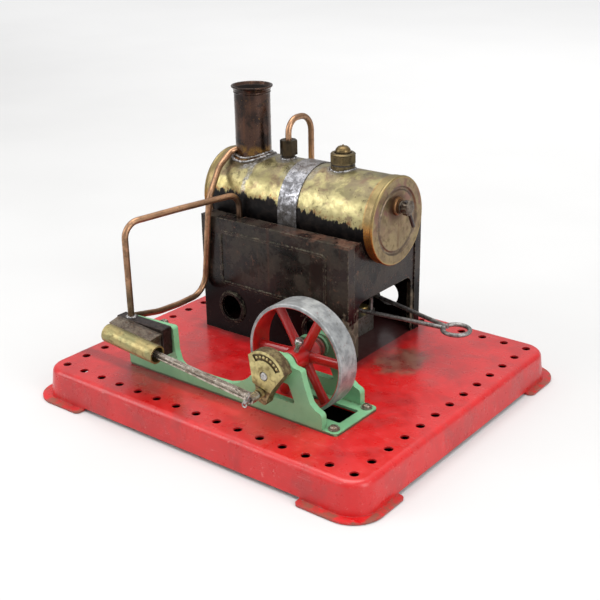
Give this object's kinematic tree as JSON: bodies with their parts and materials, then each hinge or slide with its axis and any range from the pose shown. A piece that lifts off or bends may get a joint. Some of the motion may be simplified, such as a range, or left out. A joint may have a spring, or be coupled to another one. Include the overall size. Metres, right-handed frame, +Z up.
{
  "type": "model steam engine",
  "caption": "Small stationary steam engine on a pressed perforated base: horizontal boiler on a firebox, chimney, spirit burner and an oscillating cylinder turning a spoked flywheel.",
  "frame": {"origin": "centre of the base's footprint on the ground", "axes": "+X along the boiler towards the end with the level plug and burner handle, +Y from the engine side to the boiler side, +Z up"},
  "size_m": [0.2054, 0.181, 0.1427],
  "materials": {
    "base_enamel": "gloss",
    "firebox_enamel": "satin",
    "frame_enamel": "satin",
    "wheel_enamel": "gloss",
    "pulley_enamel": "satin",
    "brass": "satin",
    "dark_brass": "satin",
    "copper_pipe": "satin",
    "bright_steel": "satin",
    "dark_steel": "matt",
    "tinplate": "satin",
    "wick_cotton": "matt"
  },
  "bodies": {
    "base": {"base_plate": "base_enamel", "engine_frame": "frame_enamel", "frame_screws": "bright_steel", "frame_washers": "bright_steel", "frame_nuts": "dark_steel", "port_block": "dark_steel", "port_block_screws": "dark_steel", "boiler_barrel": "brass", "boiler_cap_right": "brass", "boiler_cap_left": "brass", "boiler_strap": "tinplate", "union_bush": "brass", "union_nut": "dark_brass", "union_nipple": "brass", "steam_pipe": "copper_pipe", "exhaust_pipe": "copper_pipe", "chimney": "dark_brass", "valve_bush": "brass", "level_plug_bush": "brass", "firebox_front": "firebox_enamel", "firebox_back": "firebox_enamel", "firebox_end_right": "firebox_enamel", "firebox_end_left": "firebox_enamel"},
    "crank": {"crankshaft": "bright_steel", "crank_web": "brass", "flywheel": "wheel_enamel", "flywheel_grub_screw": "dark_steel", "drive_pulley": "pulley_enamel"},
    "cylinder": {"cylinder_tube": "brass", "cylinder_end_plug": "brass", "cylinder_port_face": "dark_steel", "trunnion_pin": "bright_steel", "trunnion_spring": "bright_steel", "trunnion_washer": "bright_steel", "trunnion_nut": "bright_steel"},
    "rod": {"piston": "brass", "piston_rod": "bright_steel", "crank_pin": "bright_steel", "crank_pin_clip": "bright_steel"},
    "burner": {"burner_tank": "tinplate", "burner_lid": "tinplate", "burner_wick_tubes": "tinplate", "burner_wicks": "wick_cotton", "burner_handle": "dark_steel"},
    "filler_cap": {"burner_filler_cap": "brass"},
    "safety_valve": {"valve_washer": "dark_steel", "safety_valve_body": "brass"},
    "valve_stem": {"safety_valve_stem": "brass", "safety_valve_collar": "brass", "safety_valve_spring": "bright_steel"},
    "level_plug": {"level_plug": "bright_steel", "level_plug_washer": "dark_steel", "level_plug_bar": "dark_steel"}
  },
  "joints": [
    {"name": "crankshaft_spin", "type": "hinge", "parent": "base", "child": "crank", "pos_m": [0.0342, -0.044, 0.0411], "axis": [0, 1, 0], "continuous": true},
    {"name": "cylinder_rock", "type": "hinge", "parent": "base", "child": "cylinder", "pos_m": [-0.046, -0.06, 0.039], "axis": [0, -1, 0], "range_deg": [-0.08, 12.94]},
    {"name": "piston_slide", "type": "slide", "parent": "cylinder", "child": "rod", "axis": [0.9963, 0, -0.0859], "range_m": [-0.00715, 0.01105]},
    {"name": "burner_slide", "type": "slide", "parent": "base", "child": "burner", "axis": [1, 0, 0], "range_m": [0, 0.085]},
    {"name": "filler_cap_lift", "type": "slide", "parent": "burner", "child": "filler_cap", "axis": [0, 0, 1], "range_m": [0, 0.012]},
    {"name": "safety_valve_out", "type": "slide", "parent": "base", "child": "safety_valve", "axis": [0, 0, 1], "range_m": [0, 0.03]},
    {"name": "safety_valve_lift", "type": "slide", "parent": "safety_valve", "child": "valve_stem", "axis": [0, 0, 1], "range_m": [0, 0.0015], "stiffness_N_per_m": 500, "deforming": ["safety_valve_spring"]},
    {"name": "level_plug_out", "type": "slide", "parent": "base", "child": "level_plug", "axis": [1, 0, 0], "range_m": [0, 0.02]}
  ]
}
